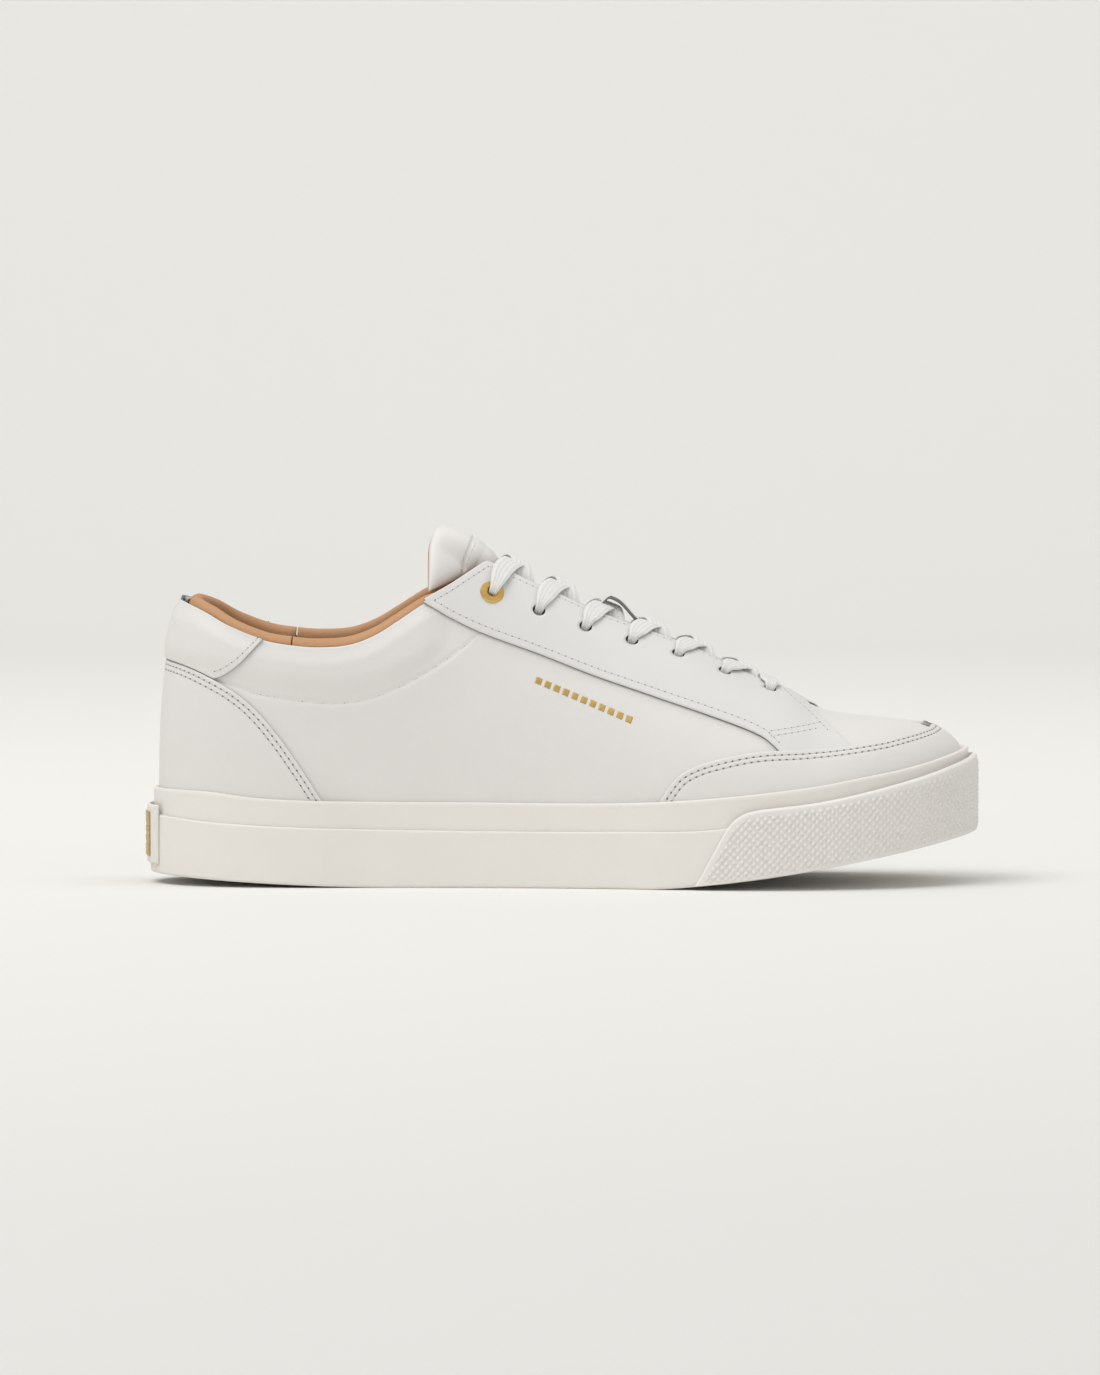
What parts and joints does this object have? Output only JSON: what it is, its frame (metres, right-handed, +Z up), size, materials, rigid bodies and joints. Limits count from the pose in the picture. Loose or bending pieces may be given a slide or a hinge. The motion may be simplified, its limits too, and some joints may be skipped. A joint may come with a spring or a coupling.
{
  "type": "court shoe",
  "caption": "Low lace-up court shoe for the right foot: off-white leather upper, tan lining, rubber cupsole with a textured toe bumper, flat laces.",
  "frame": {"origin": "on the ground under the middle of the shoe's box", "axes": "+X from heel to toe, +Z up, -Y to the outer (lateral) side of the foot"},
  "size_m": [0.297, 0.106, 0.1268],
  "materials": {
    "white_leather": "smooth fine grain, low sheen, grey cut edges, white stitching",
    "white_rubber": "semi-matte, toe bumper with fine diamond texture",
    "tan_leather": "matte pigskin-style lining",
    "gold_foil": "satin stamped foil",
    "gold_metal": "polished",
    "white_lace": "flat woven cotton, ribbed lengthwise",
    "clear_plastic": "translucent white",
    "fibre_board": "pressed cellulose fibre",
    "padding_foam": "open-cell foam",
    "midsole_foam": "cellular rubber"
  },
  "bodies": {
    "shoe": {"outsole": "white_rubber", "midsole": "midsole_foam", "inner_band": "white_rubber", "outer_band": "white_rubber", "toe_bumper": "white_rubber", "heel_label": "white_rubber", "heel_badge": "gold_foil", "insole_board": "fibre_board", "sockliner": "tan_leather", "vamp": "white_leather", "vamp_lining": "tan_leather", "toe_puff": "fibre_board", "mudguard": "white_leather", "quarter_lateral": "white_leather", "quarter_medial": "white_leather", "heel_cover": "white_leather", "heel_tab": "white_leather", "heel_stiffener": "fibre_board", "collar_foam": "padding_foam", "heel_lining": "tan_leather", "quarter_lining_lateral": "tan_leather", "quarter_lining_medial": "tan_leather", "eyestay_lateral": "white_leather", "eyestay_medial": "white_leather", "eyestay_backer_lateral": "fibre_board", "eyestay_backer_medial": "fibre_board", "top_eyelet_lateral": "gold_metal", "top_eyelet_medial": "gold_metal", "eyelet_washer_lateral": "gold_metal", "eyelet_washer_medial": "gold_metal", "tongue_leather": "white_leather", "tongue_foam": "padding_foam", "tongue_lining": "tan_leather", "lace_keeper": "white_leather", "lace": "white_lace", "lace_tip_lateral": "clear_plastic", "lace_tip_medial": "clear_plastic"},
    "tongue_top": {"tongue_top_leather": "white_leather", "tongue_top_foam": "padding_foam", "tongue_top_lining": "tan_leather"}
  },
  "joints": [
    {"name": "tongue_bend", "type": "hinge", "parent": "shoe", "child": "tongue_top", "pos_m": [-0.029, 0, 0.113], "axis": [0, 1, 0], "range_deg": [0, 30], "stiffness_Nm_per_rad": 0.02}
  ]
}
